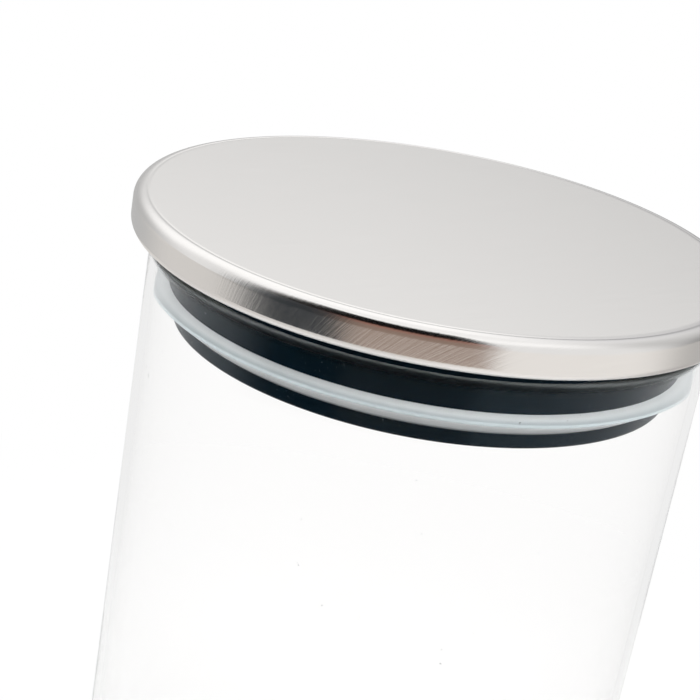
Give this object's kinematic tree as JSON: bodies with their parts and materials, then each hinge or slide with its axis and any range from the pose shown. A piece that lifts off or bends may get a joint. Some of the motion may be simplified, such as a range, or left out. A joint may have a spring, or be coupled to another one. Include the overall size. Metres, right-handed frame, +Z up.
{
  "type": "lidded glass canister",
  "caption": "Straight clear glass canister closed by a round plug lid: brushed steel cap over a black hollow plug with a soft lip seal that slides in the mouth.",
  "frame": {"origin": "centre of the jar's foot, on the surface it stands on", "axes": "+Z up along the jar's axis towards the lid, +X and +Y across it; the part is round, so X and Y are free"},
  "size_m": [0.1076, 0.1076, 0.1584],
  "materials": {
    "clear_glass": "clear, fire-polished rim",
    "brushed_steel": "straight-grained brush, satin",
    "black_plastic": "smooth moulded, semi-gloss",
    "silicone": "translucent, satin"
  },
  "bodies": {
    "jar": {"glass_jar": "clear_glass"},
    "seal": {"lid_seal": "silicone"},
    "lid": {"lid_cap": "brushed_steel", "lid_plug": "black_plastic"}
  },
  "joints": [
    {"name": "lid_lift", "type": "slide", "parent": "jar", "child": "seal", "axis": [0, 0, 1], "range_m": [-0.00245, 0.12]},
    {"name": "lid_turn", "type": "hinge", "parent": "seal", "child": "lid", "pos_m": [0, 0, 0.1415], "axis": [0, 0, 1], "continuous": true}
  ]
}
